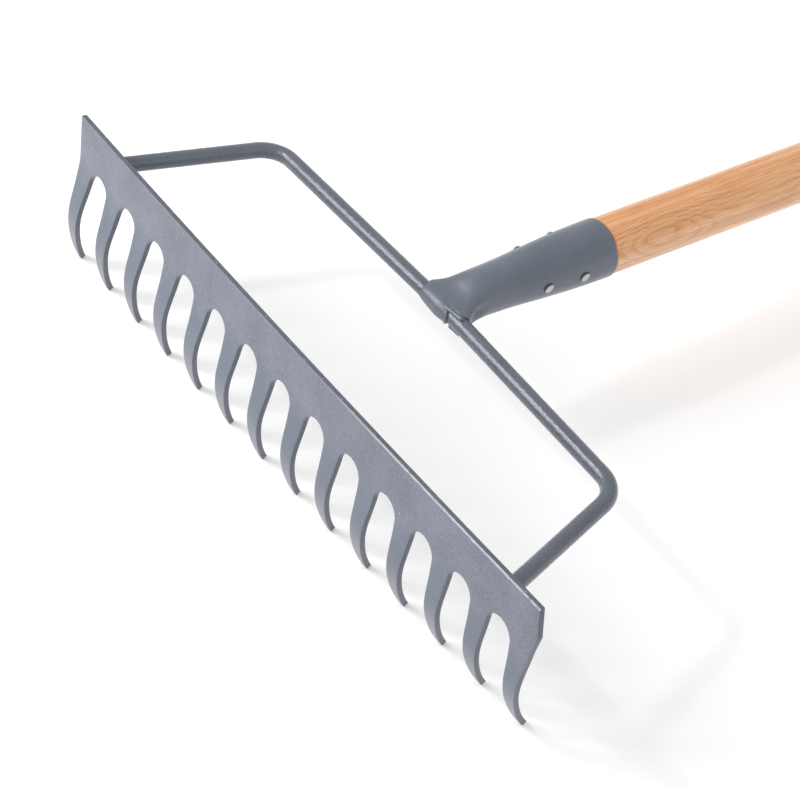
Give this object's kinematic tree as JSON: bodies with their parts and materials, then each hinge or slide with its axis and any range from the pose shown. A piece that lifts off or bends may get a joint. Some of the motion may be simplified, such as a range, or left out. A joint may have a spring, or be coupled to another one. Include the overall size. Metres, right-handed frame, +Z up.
{
  "type": "bow rake",
  "caption": "Garden rake with a curved-tine steel head carried on a bent rod bow, and a tapered socket riveted to a long round wooden shaft.",
  "frame": {"origin": "on the ground, below the middle of the bounding box of the rake as it lies on its tine tips and the butt of its shaft", "axes": "+X along the head, +Y along the ground from the head towards the shaft's butt, +Z up"},
  "size_m": [0.41, 1.5998, 0.0866],
  "materials": {
    "paint": "satin slate blue-grey powder coat with a fine orange-peel grain",
    "wood": "clear satin varnish on honey-coloured ash",
    "rivet_steel": "bare zinc-bright steel"
  },
  "bodies": {
    "root": {"rake_head": "paint", "bow": "paint", "socket": "paint", "weld_bow_left": "paint", "weld_bow_right": "paint", "weld_socket_upper": "paint", "weld_socket_lower": "paint", "weld_tongue": "paint", "handle": "wood", "rivet_front": "rivet_steel", "rivet_rear": "rivet_steel"}
  },
  "joints": []
}
